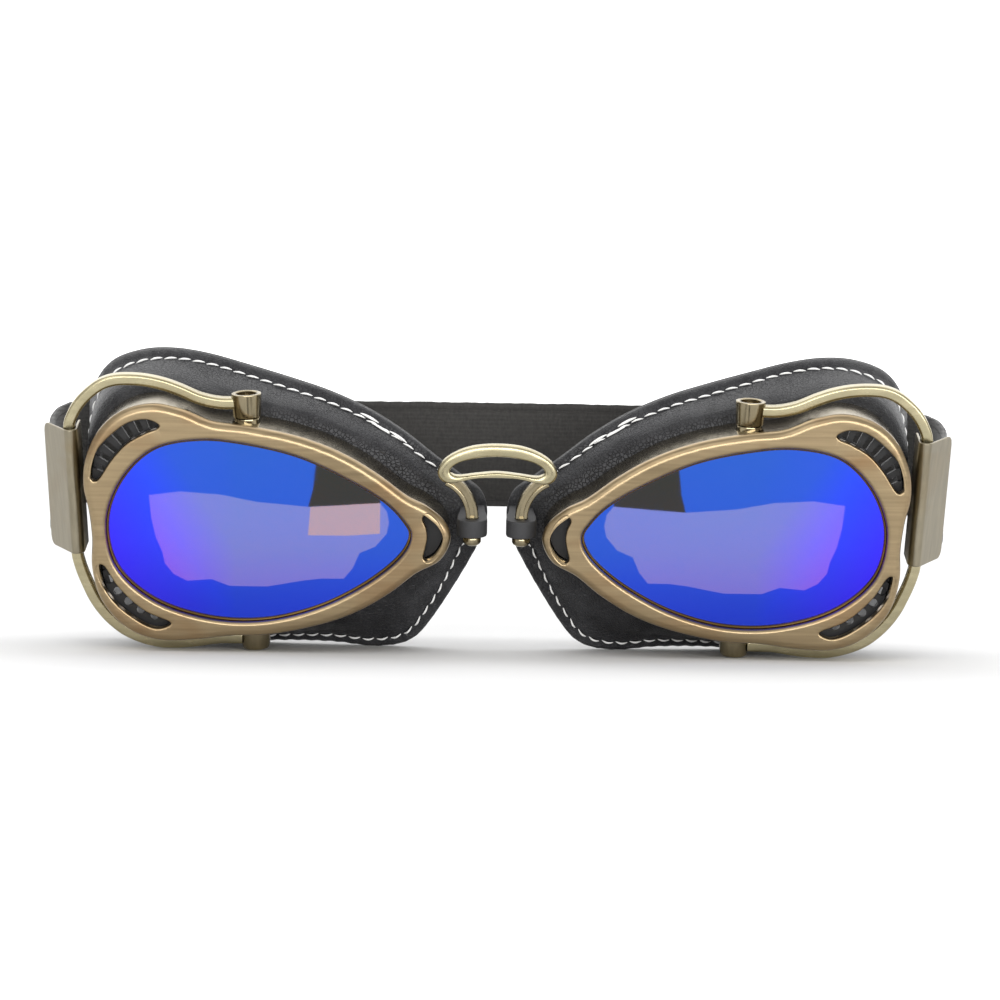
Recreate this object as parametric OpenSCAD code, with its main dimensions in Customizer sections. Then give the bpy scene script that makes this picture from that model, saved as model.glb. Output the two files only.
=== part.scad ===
// Riding goggles: two cast eye frames with mirrored lenses, padded leather skirts,
// a hinged nose bridge, C-shaped outrigger arms and an elastic head strap.
//
// Every piece is drawn upright: X across the face, Z up, Y from the front
// plate (y = 0) back to the face. The right half is drawn and mirrored for the left.
// stand() then leans the whole object forward until it rests on its arms and skirts.

/* [Eye frame] */
// Depth of a cast eye frame, from its front face to its rear rim
frame_depth = 17; // [16:0.5:18]
// Thickness of the frame's front plate
plate_t = 2.2; // [1.8:0.1:2.6]
// Thickness of the frame's side wall
wall_t = 1.2; // [1.0:0.1:1.4]
// How far the side wall sits in from the front plate's edge
wall_inset = 0.5; // [0.4:0.1:0.6]

/* [Lens] */
// Thickness of a lens
lens_t = 1.8; // [1.4:0.1:2.0]
// Width of the lens edge that is trapped behind the front plate
lens_seat = 1.1; // [0.8:0.1:1.2]

/* [Nose bridge] */
// Depth of the bow, front to back
bow_t = 3.0; // [2.8:0.1:3.2]
// Distance of each hinge pin from the middle of the nose
pin_x = 5.5; // [5.4:0.1:5.6]
// Radius of each hinge pin
pin_r = 1.5; // [1.3:0.1:1.6]

/* [Outrigger arms] */
// Width of the arm's bar, seen from the front
bar_w = 2.4; // [2.0:0.1:2.5]
// Depth of the arm's bar, front to back
bar_d = 3.4; // [3.0:0.1:3.6]

/* [Strap] */
// Width of the elastic webbing
strap_w = 25; // [24:0.5:26]
// Thickness of the elastic webbing
strap_t = 1.4; // [1.2:0.1:1.6]

/* [Leather] */
// Depth of the skirt's rim at the nose, from the front plate
rim_nose = 22; // [21.5:0.5:23]
// How much deeper the rim sits for each millimetre away from the nose
rim_slope = 0.18; // [0.16:0.01:0.19]
// Thickness of the face pad behind the rim
pad_t = 2.5; // [2:0.1:3]

/* [Hidden] */
$fn = 48;

brass = [0.62, 0.52, 0.37];
dark_brass = [0.45, 0.38, 0.27];
mirror_blue = [0.15, 0.2, 0.9];
amber = [0.55, 0.35, 0.08];
black = [0.09, 0.09, 0.1];
leather = [0.14, 0.14, 0.15];
webbing = [0.17, 0.17, 0.16];

// Stance: the lean, and the shift that puts the floor at z = 0
lean = 11;
stand_y = -30.75;
stand_z = 27.52;

// Outlines of the right half, seen from the front: [x, z], clockwise from the nose
frame_pts = [
    [10.2, -1.5], [11.6, 2.6], [15.6, 6.0], [20.2, 8.4], [26.4, 13.0], [32.6, 16.8],
    [39.0, 19.7], [46.5, 22.0], [55.8, 23.7], [63.5, 24.6], [70.2, 27.2], [77.0, 28.4],
    [83.8, 26.5], [88.8, 21.9], [91.6, 15.6], [92.1, 9.5], [90.9, 3.8], [90.2, -2.5],
    [90.2, -9.6], [88.0, -17.0], [82.6, -23.0], [75.5, -25.7], [67.0, -25.5], [60.0, -24.6],
    [50.0, -24.0], [38.7, -21.5], [30.5, -18.3], [23.5, -14.0], [17.9, -9.5], [12.6, -6.4]
];
lens_pts = [
    [19.0, -1.0], [20.7, 2.8], [25.0, 7.1], [32.5, 11.7], [43.5, 16.8], [55.0, 19.6],
    [66.0, 20.6], [76.5, 18.3], [83.8, 11.0], [87.0, 1.4], [84.8, -8.8], [76.5, -16.4],
    [64.5, -20.4], [52.0, -20.8], [40.0, -17.8], [29.5, -12.4], [21.8, -6.2]
];
rim_pts = [
    [2.4, -2.0], [3.4, 4.4], [8.2, 8.2], [14.2, 12.4], [21.5, 17.8], [29.5, 22.4],
    [38.0, 25.9], [46.5, 28.4], [57.0, 31.1], [66.0, 33.2], [74.0, 34.1], [81.5, 33.4],
    [88.4, 30.6], [92.4, 25.6], [94.0, 19.0], [93.4, 11.0], [92.4, 3.0], [92.0, -5.0],
    [90.6, -13.5], [86.5, -21.5], [79.0, -28.0], [70.5, -32.0], [61.5, -33.8], [54.0, -33.4],
    [45.5, -32.8], [36.5, -32.6], [27.5, -33.0], [19.9, -31.2], [14.6, -25.6], [6.0, -11.0]
];
upper_slot_pts = [
    [75.2, 23.9], [77.9, 25.0], [82.0, 24.2], [86.2, 21.0], [89.0, 17.6], [90.5, 13.4],
    [90.2, 11.4], [88.7, 11.2], [85.8, 15.6], [82.4, 19.4], [78.2, 21.9], [75.8, 22.9]
];
lower_slot_pts = [
    [72.8, -21.9], [75.4, -22.8], [79.0, -21.6], [84.2, -17.8], [87.4, -13.6], [89.0, -9.8],
    [88.5, -8.4], [87.2, -8.9], [84.7, -12.9], [81.0, -16.8], [77.5, -19.3], [73.3, -21.0]
];
nose_slot_pts = [
    [15.2, 4.4], [13.1, 2.3], [12.0, -0.9], [12.9, -4.2], [14.8, -6.3],
    [16.2, -5.6], [15.8, -3.4], [15.4, -1.0], [15.7, 1.3], [16.5, 3.4]
];
// Half of the bow, from the middle of its top edge round to the middle of its bottom edge
bow_pts = [[0, 19.7], [5.0, 19.3], [9.0, 18.0], [12.1, 15.9], [13.4, 13.2], [12.2, 11.1], [9.8, 10.8], [5.0, 11.8], [0, 12.1]];
bow_slot_pts = [[0, 16.9], [4.5, 16.5], [8.6, 15.4], [10.5, 13.7], [9.0, 12.5], [4.5, 13.0], [0, 13.4]];
// Middle line of the arm's bar, from the upper barrel round to the lower one
arm_pts = [
    [57.5, 27.4], [62.0, 27.3], [66.6, 28.2], [70.9, 30.0], [74.6, 31.3], [78.3, 32.1],
    [82.0, 32.4], [85.6, 32.2], [88.6, 31.2], [91.2, 29.3], [93.4, 27.0], [95.0, 24.3],
    [95.85, 21.4], [95.56, 16.0], [95.18, 9.5], [94.81, 3.0], [94.46, -3.0], [94.2, -7.4],
    [93.7, -9.8], [92.8, -12.5], [91.6, -15.3], [90.4, -17.8], [88.6, -20.5], [86.2, -23.1],
    [83.2, -25.4], [79.3, -27.1], [75.2, -28.0], [71.0, -28.0], [67.0, -27.6], [62.5, -26.9],
    [57.0, -26.8]
];
// Plan view of the right strap, [x, y], from the clip to the flat rear band
side_pts = [[97.4, 12.4], [98.4, 18.6], [100.6, 26.5], [102.3, 35.5], [102.8, 45.0], [101.4, 54.0], [96.8, 60.8], [90.0, 63.4]];
band_x = 89.7;
band_y = 63.4;
strap_z = 3.8;

// Hinge axis of an arm: where it crosses z = 0, its slope in x, and its depth
arm_axis_x = 55.1;
arm_axis_slope = 2.2 / 54;
arm_axis_tilt = atan(arm_axis_slope);
arm_axis_y = 9;
barrel_r = 3.1;
shoulder_r = 1.5;
running_gap = 0.06;
boss_top = 24.1;
boss_bottom = -24.9;

pin_y = 7.5;
leg_w = 2.8;
leg_bend_r = 9.5;
leg_bend_angle = 66;
keeper_top = 2.0;
keeper_bottom = -2.0;

lens_front = plate_t;
lens_back = lens_front + lens_t;

// ---------- curves ----------

// Closed curve through p, with n points for each span
function closed_curve(p, n) = [
    for (i = [0 : len(p) - 1])
        let (a = p[(i + len(p) - 1) % len(p)], b = p[i], c = p[(i + 1) % len(p)], d = p[(i + 2) % len(p)])
        for (k = [0 : n - 1]) span_point(a, b, c, d, k / n)
];

// Open curve through p; the ends are carried on straight
function open_curve(p, n) =
    let (q = concat([2 * p[0] - p[1]], p, [2 * p[len(p) - 1] - p[len(p) - 2]]))
    concat(
        [for (i = [1 : len(q) - 3]) for (k = [0 : n - 1]) span_point(q[i - 1], q[i], q[i + 1], q[i + 2], k / n)],
        [p[len(p) - 1]]
    );

function span_point(a, b, c, d, t) =
    0.5 * (2 * b + (c - a) * t + (2 * a - 5 * b + 4 * c - d) * t * t + (3 * b - a - 3 * c + d) * t * t * t);

// Unit normal on the left of the way from a to b
function side_of(a, b) = let (d = b - a) [-d[1], d[0]] / norm(d);

// Both edges of a bar of width w along an open line
function stroke(line, w) =
    let (n = len(line))
    let (normals = [for (i = [0 : n - 1]) side_of(line[max(i - 1, 0)], line[min(i + 1, n - 1)])])
    concat(
        [for (i = [0 : n - 1]) line[i] + normals[i] * w / 2],
        [for (i = [n - 1 : -1 : 0]) line[i] - normals[i] * w / 2]
    );

// A closed half outline and its mirror image, as one loop
function both_halves(p) = concat(p, [for (i = [len(p) - 2 : -1 : 1]) [-p[i][0], p[i][1]]]);

// ---------- helpers ----------

module stand() {
    translate([0, stand_y, stand_z])
        rotate([lean, 0, 0])
            children();
}

module right() {
    stand()
        children();
}

module left() {
    stand()
        mirror([1, 0, 0])
            children();
}

// A flat shape in the x-z plane, made solid from depth y0 to y1
module slab(y0, y1) {
    translate([0, y1, 0])
        rotate([90, 0, 0])
            linear_extrude(y1 - y0)
                children();
}

module frame_outline() {
    polygon(closed_curve(frame_pts, 4));
}

module lens_opening() {
    polygon(closed_curve(lens_pts, 5));
}

// Closed ring: one row of section points for each step round it
module ring(rows) {
    n = len(rows);
    k = len(rows[0]);
    polyhedron(
        points = [for (row = rows) for (p = row) p],
        faces = [
            for (i = [0 : n - 1])
                for (j = [0 : k - 1])
                    let (a = i * k + j, b = i * k + (j + 1) % k)
                    let (c = (i + 1) % n * k + (j + 1) % k, d = (i + 1) % n * k + j)
                    for (face = [[a, b, c], [a, c, d]]) face
        ]
    );
}

// Puts a shape on the arm's hinge axis; z = 0 of the shape is height z on the axis
module on_arm_axis(z) {
    translate([arm_axis_x + z * arm_axis_slope, arm_axis_y, z])
        rotate([0, arm_axis_tilt, 0])
            children();
}

// ---------- eye frame ----------

module vent_slots() {
    polygon(closed_curve(upper_slot_pts, 4));
    polygon(closed_curve(lower_slot_pts, 4));
    polygon(closed_curve(nose_slot_pts, 4));
}

module eye_frame() {
    thread_r = 1.15;
    boss_r = 2.9;
    color(brass)
        difference() {
            union() {
                slab(0, plate_t)
                    difference() {
                        frame_outline();
                        lens_opening();
                        vent_slots();
                    }
                slab(plate_t - 0.1, frame_depth)
                    difference() {
                        offset(delta = -wall_inset)
                            frame_outline();
                        offset(delta = -wall_inset - wall_t)
                            frame_outline();
                    }
                on_arm_axis(boss_top - 1.6)
                    cylinder(r = boss_r, h = 1.6);
                on_arm_axis(boss_bottom)
                    cylinder(r = boss_r, h = 1.6);
            }
            on_arm_axis(boss_top - 3)
                cylinder(r = thread_r, h = 4);
            on_arm_axis(boss_bottom - 1)
                cylinder(r = thread_r, h = 4);
        }
}

// ---------- lens, gasket and liner ----------

module lens() {
    color(mirror_blue)
        slab(lens_front, lens_back)
            offset(delta = lens_seat)
                lens_opening();
}

// Thin trim ring inside the opening, in front of the lens
module lens_gasket() {
    ring_w = 0.8;
    ring_t = 0.9;
    fit = 0.05;
    color(amber)
        slab(lens_front - ring_t, lens_front)
            difference() {
                offset(delta = -fit)
                    lens_opening();
                offset(delta = -ring_w)
                    lens_opening();
            }
}

// Black moulding that clamps the lens and baffles the vents with ribs and holes
module vent_liner() {
    edge = wall_inset + wall_t + 0.15;
    floor_t = 1.2;
    skin_t = 1.0;
    rib_pitch = 8;
    rib_w = 1.3;
    hole_r = 1.0;
    upper_centre = [71.5, 5.5];
    lower_centre = [70.5, -2.5];
    vent_r = 19.1;
    color(black)
        union() {
            slab(lens_back, lens_back + floor_t)
                difference() {
                    offset(delta = -edge)
                        frame_outline();
                    offset(delta = -lens_seat)
                        lens_opening();
                    for (angle = [24 : rib_pitch : 72])
                        translate(upper_centre)
                            rotate(angle)
                                translate([vent_r - 1.5, -rib_w / 2])
                                    square([3.4, rib_w]);
                    for (angle = [-72 : 10 : -22])
                        translate(lower_centre + vent_r * [cos(angle), sin(angle)])
                            circle(r = hole_r);
                }
            slab(lens_back + floor_t - 0.1, frame_depth)
                difference() {
                    offset(delta = -edge)
                        frame_outline();
                    offset(delta = -edge - skin_t)
                        frame_outline();
                }
        }
}

// ---------- leather ----------

function rim_depth(x) = rim_nose + rim_slope * x;

// One section of the soft ring. Each item is [share of the way from the frame to the rim,
// share of the depth from the frame's rear to the rim, extra depth, inset from the frame's edge]
function soft_section(f, r, inward, items) = [
    for (item = items)
        let (p = f + (r - f) * item[0] + inward * item[3])
        [p[0], frame_depth + (rim_depth(r[0]) - frame_depth) * item[1] + item[2], p[1]]
];

function soft_ring(items) =
    let (f = closed_curve(frame_pts, 3), r = closed_curve(rim_pts, 3), n = len(f))
    [for (i = [0 : n - 1]) soft_section(f[i], r[i], -side_of(f[(i + n - 1) % n], f[(i + 1) % n]), items)];

module leather_skirt() {
    color(leather)
        ring(soft_ring([
            [0, 0, 0.02, 0.6], [0.28, 0.12, 0.5, 0], [0.52, 0.42, 0.4, 0], [0.66, 0.72, -0.6, 0],
            [1, 1, -1.4, 0], [1, 1, 0, 0], [0.55, 1, 0, 0], [0.1, 0.6, 0.4, 0], [0, 0, 0.02, 2.3]
        ]));
}

module face_pad() {
    color(black)
        ring(soft_ring([
            [0.94, 1, 0.15, 0], [0.8, 1, pad_t, 0], [0.3, 1, pad_t, 0],
            [0, 0.7, 1.6, 0.4], [0.07, 0.65, 1.0, 0], [0.54, 1, 0.3, 0]
        ]));
}

// Leather loop that holds the bridge's pin at the nose end of the skirt
module bridge_keeper() {
    keeper_r = 3.4;
    tail_w = 6.0;
    tail_end = 20.4;
    color(leather)
        translate([pin_x, pin_y, keeper_bottom])
            difference() {
                union() {
                    cylinder(r = keeper_r, h = keeper_top - keeper_bottom);
                    translate([-tail_w / 2, 0, 0])
                        cube([tail_w, tail_end - pin_y, keeper_top - keeper_bottom]);
                }
                translate([0, 0, -1])
                    cylinder(r = pin_r + running_gap, h = keeper_top - keeper_bottom + 2);
            }
}

// ---------- nose bridge ----------

bow_y = 3.4;
stud_r = 0.9;
stud_h = 1.2;
leg_top = keeper_top + 0.3;

module bridge_leg() {
    groove_w = 0.7;
    groove_d = 1.2;
    // Curved leg: a grooved bar turned about a centre beside the pin
    translate([pin_x + leg_bend_r, pin_y, leg_top])
        rotate([90, 0, 180])
            rotate_extrude(angle = leg_bend_angle, $fn = 96)
                difference() {
                    translate([leg_bend_r - leg_w / 2, -leg_w / 2])
                        square([leg_w, leg_w]);
                    translate([leg_bend_r - groove_w / 2, -leg_w / 2 - 1])
                        square([groove_w, groove_d + 1]);
                }
    translate([pin_x, pin_y, keeper_bottom - 0.1])
        cylinder(r = pin_r, h = leg_top - keeper_bottom + 0.2);
    translate([pin_x, pin_y, keeper_bottom - 0.1 - stud_h])
        cylinder(r = stud_r, h = stud_h + 0.1);
}

module nose_bridge() {
    color(brass) {
        slab(bow_y, bow_y + bow_t)
            difference() {
                polygon(closed_curve(both_halves(bow_pts), 5));
                polygon(closed_curve(both_halves(bow_slot_pts), 5));
            }
        bridge_leg();
        mirror([1, 0, 0])
            bridge_leg();
    }
}

// Domed nut on the end of the bridge's pin
module bridge_end_cap() {
    cap_r = 2.05;
    cap_h = 2.1;
    color(brass)
        translate([pin_x, pin_y, keeper_bottom - 0.1])
            mirror([0, 0, 1])
                difference() {
                    rotate_extrude()
                        intersection() {
                            translate([0, cap_h - 4.2])
                                circle(r = 4.2, $fn = 96);
                            square([cap_r, cap_h]);
                        }
                    translate([0, 0, -1])
                        cylinder(r = stud_r + running_gap, h = stud_h + 1.1);
                }
}

// ---------- outrigger arm ----------

barrel_top = 29.6;
barrel_bottom = -29.1;
seat_gap = 0.15;
head_r = 2.2;
head_h = 1.2;
head_seat = 2.4;

module outrigger_arm() {
    lip_r = 3.4;
    foot_r = 2.9;
    upper_h = barrel_top - boss_top - seat_gap;
    lower_h = boss_bottom - seat_gap - barrel_bottom;
    color(brass)
        difference() {
            union() {
                slab(arm_axis_y - bar_d / 2, arm_axis_y + bar_d / 2)
                    polygon(stroke(open_curve(arm_pts, 3), bar_w));
                on_arm_axis(boss_top + seat_gap)
                    cylinder(r1 = barrel_r, r2 = lip_r, h = upper_h);
                on_arm_axis(barrel_bottom)
                    cylinder(r1 = foot_r, r2 = lip_r, h = lower_h);
            }
            on_arm_axis(boss_top - 1)
                cylinder(r = shoulder_r + running_gap, h = upper_h + 3);
            on_arm_axis(barrel_top - head_seat)
                cylinder(r = head_r + 0.15, h = head_seat + 1);
            on_arm_axis(barrel_bottom - 1)
                cylinder(r = shoulder_r + running_gap, h = lower_h + 3);
            on_arm_axis(barrel_bottom - 1)
                cylinder(r = head_r + 0.15, h = head_h + 1.3);
        }
}

// Shoulder screw standing on its seat at z = 0, head at height h
module shoulder_screw(h, slot_d) {
    thread_l = 1.5;
    thread_r = 1.1;
    slot_w = 0.6;
    difference() {
        union() {
            translate([0, 0, -thread_l])
                cylinder(r = thread_r, h = thread_l + 0.1);
            cylinder(r = shoulder_r, h = h + 0.1);
            translate([0, 0, h])
                cylinder(r = head_r, h = head_h);
        }
        translate([-head_r - 1, -slot_w / 2, h + head_h - slot_d])
            cube([2 * head_r + 2, slot_w, slot_d + 1]);
    }
}

module hinge_screws() {
    lower_shoulder = boss_bottom - barrel_bottom - head_h - 0.2;
    color(dark_brass) {
        on_arm_axis(boss_top + 0.02)
            shoulder_screw(barrel_top - head_seat - boss_top + 0.03, 0.6);
        on_arm_axis(boss_bottom - 0.02)
            mirror([0, 0, 1])
                shoulder_screw(lower_shoulder, 0.6);
    }
}

// Folded plate that wraps the arm's bar and traps the looped strap end
module strap_clip() {
    clip_x = 95.05;
    clip_z = 7.2;
    clip_h = 28.4;
    clip_tilt = 3.3;
    sheet_t = 0.7;
    nose_y = 4.4;
    back_y = 15.2;
    inner_x = -bar_w / 2 - sheet_t - 0.15;
    nose_x = 0.5;
    flare = 0.54;
    // The sheet's outer face, from the back of the inner wall round the nose to the outer wall
    outer_face = [
        [inner_x, back_y], [inner_x, nose_y + 1.2], [inner_x + 1.2, nose_y],
        [nose_x, nose_y], [nose_x + flare * (back_y - nose_y), back_y]
    ];
    // The same outline carried past the back, so that its inset leaves the channel open
    open_face = [
        [inner_x, back_y + 4], [inner_x, nose_y + 1.2], [inner_x + 1.2, nose_y],
        [nose_x, nose_y], [nose_x + flare * (back_y + 4 - nose_y), back_y + 4]
    ];
    color(brass)
        translate([clip_x, 0, clip_z])
            rotate([0, clip_tilt, 0])
                translate([0, 0, -clip_h / 2])
                    linear_extrude(clip_h)
                        difference() {
                            polygon(outer_face);
                            offset(delta = -sheet_t)
                                polygon(open_face);
                        }
}

// ---------- strap ----------

module strap_side() {
    color(webbing)
        translate([0, 0, strap_z - strap_w / 2])
            linear_extrude(strap_w)
                polygon(stroke(open_curve(side_pts, 5), strap_t));
}

module strap_rear() {
    color(webbing)
        translate([-band_x, band_y - strap_t / 2, strap_z - strap_w / 2])
            cube([2 * band_x, strap_t, strap_w]);
}

slider_x = -48;
slider_l = 14;
slider_rail = 2.2;
slider_gap = 0.4;

// Three-bar buckle threaded on the rear band
module strap_slider() {
    bar_t = 1.6;
    bar_l = 2.6;
    inner_h = strap_w + 2 * slider_gap;
    depth = strap_t + 2 * slider_gap + 2 * bar_t;
    outer_h = inner_h + 2 * slider_rail;
    front_y = band_y - depth / 2;
    color(black)
        translate([slider_x, 0, strap_z]) {
            for (side = [-1, 1])
                translate([-slider_l / 2, front_y, side * (inner_h + slider_rail) / 2 - slider_rail / 2])
                    cube([slider_l, depth, slider_rail]);
            for (side = [-1, 1])
                translate([side * (slider_l - bar_l) / 2 - bar_l / 2, band_y + strap_t / 2 + slider_gap, -outer_h / 2])
                    cube([bar_l, bar_t, outer_h]);
            translate([-bar_l / 2, front_y, -outer_h / 2])
                cube([bar_l, bar_t, outer_h]);
        }
}

// Free end of the strap, sewn to the slider's middle bar and lying along the band
module strap_tab() {
    tab_l = 20;
    tab_t = 1.2;
    lift = 0.3;
    color(webbing)
        translate([slider_x - 2 - tab_l, band_y - strap_t / 2 - lift - tab_t, strap_z - strap_w / 2])
            cube([tab_l, tab_t, strap_w]);
}

stand() nose_bridge();
left() bridge_end_cap();  // bridge_end_cap_left
right() bridge_end_cap();  // bridge_end_cap_right
stand() strap_rear();
left() eye_frame();  // eye_frame_left
left() lens();  // lens_left
left() lens_gasket();  // lens_gasket_left
left() vent_liner();  // vent_liner_left
left() leather_skirt();  // leather_skirt_left
left() face_pad();  // face_pad_left
left() bridge_keeper();  // bridge_keeper_left
left() hinge_screws();  // hinge_screws_left
right() eye_frame();  // eye_frame_right
right() lens();  // lens_right
right() lens_gasket();  // lens_gasket_right
right() vent_liner();  // vent_liner_right
right() leather_skirt();  // leather_skirt_right
right() face_pad();  // face_pad_right
right() bridge_keeper();  // bridge_keeper_right
right() hinge_screws();  // hinge_screws_right
left() outrigger_arm();  // outrigger_arm_left
left() strap_clip();  // strap_clip_left
left() strap_side();  // strap_side_left
right() outrigger_arm();  // outrigger_arm_right
right() strap_clip();  // strap_clip_right
right() strap_side();  // strap_side_right
stand() strap_slider();
stand() strap_tab();
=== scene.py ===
"""Riding goggles: the finished look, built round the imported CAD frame.

Pieces are drawn in millimetres in the face frame: X across the face, Z up, Y from the
front plates (y = 0) back to the face. Each right-hand piece is drawn once and mirrored.
STAND leans that frame forward, as in the CAD, and turns millimetres into metres.
"""

import math

import bmesh
import bpy
from mathutils import Matrix, Vector, geometry, noise

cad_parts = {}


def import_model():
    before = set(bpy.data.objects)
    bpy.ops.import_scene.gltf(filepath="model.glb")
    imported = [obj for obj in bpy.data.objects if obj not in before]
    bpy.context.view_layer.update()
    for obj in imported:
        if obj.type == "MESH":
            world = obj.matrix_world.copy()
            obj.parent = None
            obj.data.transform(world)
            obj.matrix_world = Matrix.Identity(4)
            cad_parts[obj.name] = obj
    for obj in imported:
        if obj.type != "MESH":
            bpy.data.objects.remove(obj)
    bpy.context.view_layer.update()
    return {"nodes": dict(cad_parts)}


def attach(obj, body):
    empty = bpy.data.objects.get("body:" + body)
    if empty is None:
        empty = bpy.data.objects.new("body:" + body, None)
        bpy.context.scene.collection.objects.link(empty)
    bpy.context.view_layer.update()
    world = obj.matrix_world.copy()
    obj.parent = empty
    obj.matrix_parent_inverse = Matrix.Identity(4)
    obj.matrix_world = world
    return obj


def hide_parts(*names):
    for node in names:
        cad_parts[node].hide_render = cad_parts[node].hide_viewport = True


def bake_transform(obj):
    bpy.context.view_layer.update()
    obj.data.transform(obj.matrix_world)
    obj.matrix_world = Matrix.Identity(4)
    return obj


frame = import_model()

MM = 0.001
MERGE = 0.002
LEAN = math.radians(11)
STAND = (
    Matrix.Translation((0, -30.75 * MM, 27.52 * MM))
    @ Matrix.Rotation(LEAN, 4, "X")
    @ Matrix.Scale(MM, 4)
)
MIRROR = Matrix.Scale(-1, 4, (1, 0, 0))
SIDES = ("left", "right")

# Outlines of the right half, seen from the front: (x, z), clockwise from the nose
FRAME = [
    (10.2, -1.5), (11.6, 2.6), (15.6, 6.0), (20.2, 8.4), (26.4, 13.0), (32.6, 16.8),
    (39.0, 19.7), (46.5, 22.0), (55.8, 23.7), (63.5, 24.6), (70.2, 27.2), (77.0, 28.4),
    (83.8, 26.5), (88.8, 21.9), (91.6, 15.6), (92.1, 9.5), (90.9, 3.8), (90.2, -2.5),
    (90.2, -9.6), (88.0, -17.0), (82.6, -23.0), (75.5, -25.7), (67.0, -25.5), (60.0, -24.6),
    (50.0, -24.0), (38.7, -21.5), (30.5, -18.3), (23.5, -14.0), (17.9, -9.5), (12.6, -6.4),
]
LENS = [
    (19.0, -1.0), (20.7, 2.8), (25.0, 7.1), (32.5, 11.7), (43.5, 16.8), (55.0, 19.6),
    (66.0, 20.6), (76.5, 18.3), (83.8, 11.0), (87.0, 1.4), (84.8, -8.8), (76.5, -16.4),
    (64.5, -20.4), (52.0, -20.8), (40.0, -17.8), (29.5, -12.4), (21.8, -6.2),
]
RIM = [
    (2.4, -2.0), (3.4, 4.4), (8.2, 8.2), (14.2, 12.4), (21.5, 17.8), (29.5, 22.4),
    (38.0, 25.9), (46.5, 28.4), (57.0, 31.1), (66.0, 33.2), (74.0, 34.1), (81.5, 33.4),
    (88.4, 30.6), (92.4, 25.6), (94.0, 19.0), (93.4, 11.0), (92.4, 3.0), (92.0, -5.0),
    (90.6, -13.5), (86.5, -21.5), (79.0, -28.0), (70.5, -32.0), (61.5, -33.8), (54.0, -33.4),
    (45.5, -32.8), (36.5, -32.6), (27.5, -33.0), (19.9, -31.2), (14.6, -25.6), (6.0, -11.0),
]
SLOTS = [
    [
        (75.2, 23.9), (77.9, 25.0), (82.0, 24.2), (86.2, 21.0), (89.0, 17.6), (90.5, 13.4),
        (90.2, 11.4), (88.7, 11.2), (85.8, 15.6), (82.4, 19.4), (78.2, 21.9), (75.8, 22.9),
    ],
    [
        (72.8, -21.9), (75.4, -22.8), (79.0, -21.6), (84.2, -17.8), (87.4, -13.6), (89.0, -9.8),
        (88.5, -8.4), (87.2, -8.9), (84.7, -12.9), (81.0, -16.8), (77.5, -19.3), (73.3, -21.0),
    ],
    [
        (15.2, 4.4), (13.1, 2.3), (12.0, -0.9), (12.9, -4.2), (14.8, -6.3),
        (16.2, -5.6), (15.8, -3.4), (15.4, -1.0), (15.7, 1.3), (16.5, 3.4),
    ],
]
# Halves of the bridge's bow and its slot, from the middle of the top edge to that of the bottom
BOW = [
    (0, 19.7), (5.0, 19.3), (9.0, 18.0), (12.1, 15.9), (13.4, 13.2),
    (12.2, 11.1), (9.8, 10.8), (5.0, 11.8), (0, 12.1),
]
BOW_SLOT = [(0, 16.9), (4.5, 16.5), (8.6, 15.4), (10.5, 13.7), (9.0, 12.5), (4.5, 13.0), (0, 13.4)]
ARM = [
    (57.5, 27.4), (62.0, 27.3), (66.6, 28.2), (70.9, 30.0), (74.6, 31.3), (78.3, 32.1),
    (82.0, 32.4), (85.6, 32.2), (88.6, 31.2), (91.2, 29.3), (93.4, 27.0), (95.0, 24.3),
    (95.85, 21.4), (95.56, 16.0), (95.18, 9.5), (94.81, 3.0), (94.46, -3.0), (94.2, -7.4),
    (93.7, -9.8), (92.8, -12.5), (91.6, -15.3), (90.4, -17.8), (88.6, -20.5), (86.2, -23.1),
    (83.2, -25.4), (79.3, -27.1), (75.2, -28.0), (71.0, -28.0), (67.0, -27.6), (62.5, -26.9),
    (57.0, -26.8),
]
# Plan view of the right half of the strap, (x, y), from the clip to the middle of the back
STRAP = [
    (97.4, 12.4), (98.4, 18.6), (100.6, 26.5), (102.3, 35.5), (102.8, 45.0), (101.4, 54.0),
    (96.8, 60.8), (90.0, 63.4), (70.0, 63.4), (45.0, 63.4), (20.0, 63.4), (0.0, 63.4),
]

FRAME_DEPTH = 17.0
STITCH = 3.25
PLATE_T = 2.2
LENS_SEAT = 1.1
STRAP_Z = 3.8
STRAP_W = 25.0
PIN_X = 5.5
PIN_Y = 7.5
AXIS_X = 55.1
AXIS_Y = 9.0
AXIS_SLOPE = 2.2 / 54
BOSS_TOP = 24.1
BOSS_BOTTOM = -24.9
LENS_EDGE = 2.3
LENS_BACK = 4.0
LEG_BEND_R = 9.5
LEG_BEND_ANGLE = 66


# ---------- curves ----------


def span_point(a, b, c, d, t):
    return 0.5 * (2 * b + (c - a) * t + (2 * a - 5 * b + 4 * c - d) * t * t + (3 * b - a - 3 * c + d) * t**3)


def closed_curve(points, steps):
    p = [Vector(q) for q in points]
    n = len(p)
    return [
        span_point(p[i - 1], p[i], p[(i + 1) % n], p[(i + 2) % n], k / steps)
        for i in range(n)
        for k in range(steps)
    ]


def open_curve(points, steps):
    p = [Vector(q) for q in points]
    p = [2 * p[0] - p[1]] + p + [2 * p[-1] - p[-2]]
    line = [
        span_point(p[i - 1], p[i], p[i + 1], p[i + 2], k / steps)
        for i in range(1, len(p) - 2)
        for k in range(steps)
    ]
    return line + [p[-2]]


def inward_normals(loop):
    """Unit normals of a closed loop, pointing into its inside."""
    n = len(loop)
    area = sum(loop[i - 1].x * loop[i].y - loop[i].x * loop[i - 1].y for i in range(n))
    turn = 1 if area > 0 else -1
    normals = []
    for i in range(n):
        d = (loop[(i + 1) % n] - loop[i - 1]).normalized()
        normals.append(Vector((-d.y, d.x)) * turn)
    return normals


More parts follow.
